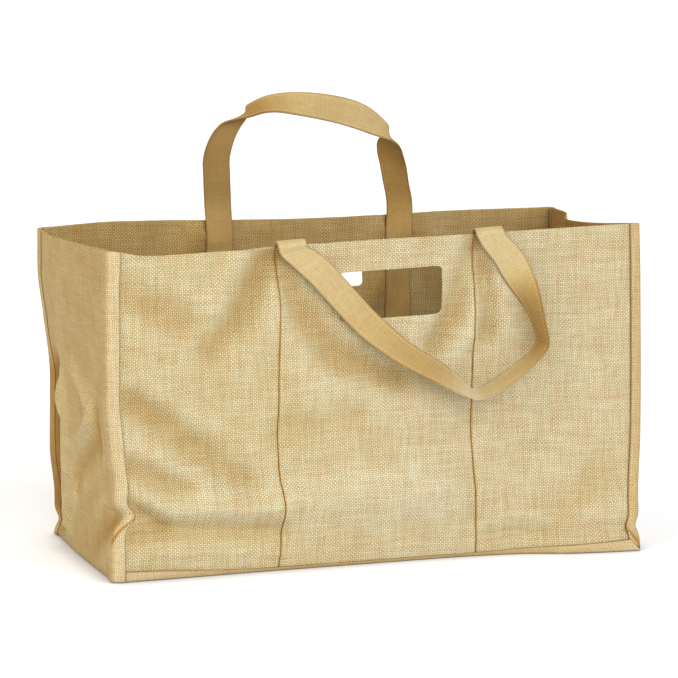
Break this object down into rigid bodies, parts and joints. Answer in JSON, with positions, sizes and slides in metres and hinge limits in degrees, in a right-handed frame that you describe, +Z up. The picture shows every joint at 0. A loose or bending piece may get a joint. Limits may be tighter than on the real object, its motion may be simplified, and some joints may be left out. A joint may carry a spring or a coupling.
{
  "type": "firewood bag",
  "caption": "Open-topped jute bag for carrying firewood, with a flat base, soft creased walls, hand slots in the long walls and sewn strap handles.",
  "frame": {"origin": "middle of the base underside, on the surface that the bag stands on", "axes": "+X to the right along the front wall as seen from the front, +Y from the front wall to the back wall, +Z up"},
  "size_m": [0.625, 0.3169, 0.5012],
  "materials": {
    "jute": "plain woven natural jute, matt",
    "welt_jute": "folded and stitched natural jute, matt",
    "strap_jute": "close-woven natural jute webbing, matt"
  },
  "bodies": {
    "root": {"front_left_panel": "jute", "front_centre_panel": "jute", "front_right_panel": "jute", "back_left_panel": "jute", "back_centre_panel": "jute", "back_right_panel": "jute", "left_side_panel": "jute", "right_side_panel": "jute", "base_panel": "jute", "front_left_welt": "welt_jute", "front_right_welt": "welt_jute", "front_bottom_welt": "welt_jute", "back_left_welt": "welt_jute", "back_right_welt": "welt_jute", "back_bottom_welt": "welt_jute", "front_handle": "strap_jute", "rear_handle": "strap_jute"}
  },
  "joints": []
}
